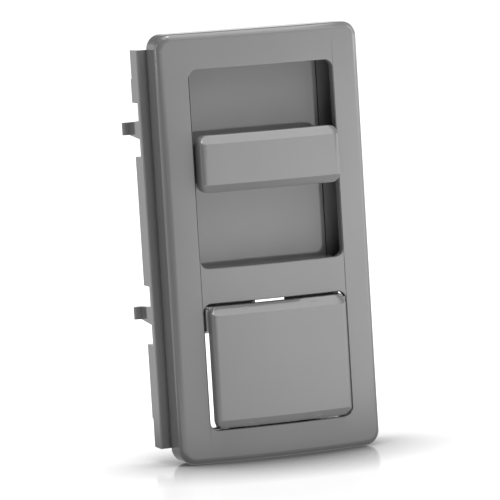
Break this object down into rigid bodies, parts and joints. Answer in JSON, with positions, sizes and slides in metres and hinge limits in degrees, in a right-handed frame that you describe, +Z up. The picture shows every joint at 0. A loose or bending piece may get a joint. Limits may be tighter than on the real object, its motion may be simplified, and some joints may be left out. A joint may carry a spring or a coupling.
{
  "type": "decorator dimmer face with slide bar and rocker pad",
  "caption": "Clip-on bowed face for a decorator dimmer, with a slide bar in an upper window, a hinged push pad below and snap hooks behind.",
  "frame": {"origin": "centre of the face, in the plane of the skirts' rear edges, where the face meets the dimmer behind it", "axes": "+Z up along the long side, +X to the right for someone facing the dimmer, +Y back into the wall; the visible face points to -Y"},
  "size_m": [0.0382, 0.0162, 0.0666],
  "materials": {
    "face_plastic": "fine semi-gloss moulded grey",
    "steel": "bright spring steel"
  },
  "bodies": {
    "frame": {"bezel": "face_plastic", "carrier_frame": "face_plastic", "track_panel": "face_plastic", "hinge_pin_left": "steel", "hinge_pin_right": "steel", "return_spring_left": "steel", "return_spring_right": "steel"},
    "slider": {"slide_bar": "face_plastic", "slide_carriage": "face_plastic"},
    "pad": {"rocker_pad": "face_plastic"}
  },
  "joints": [
    {"name": "slide_travel", "type": "slide", "parent": "frame", "child": "slider", "axis": [0, 0, 1], "range_m": [-0.0114, 0.0098]},
    {"name": "pad_press", "type": "hinge", "parent": "frame", "child": "pad", "pos_m": [0, -0.0066, -0.0112], "axis": [1, 0, 0], "range_deg": [0, 3.5], "stiffness_Nm_per_rad": 0.1, "deforming": ["return_spring_left", "return_spring_right"]}
  ]
}
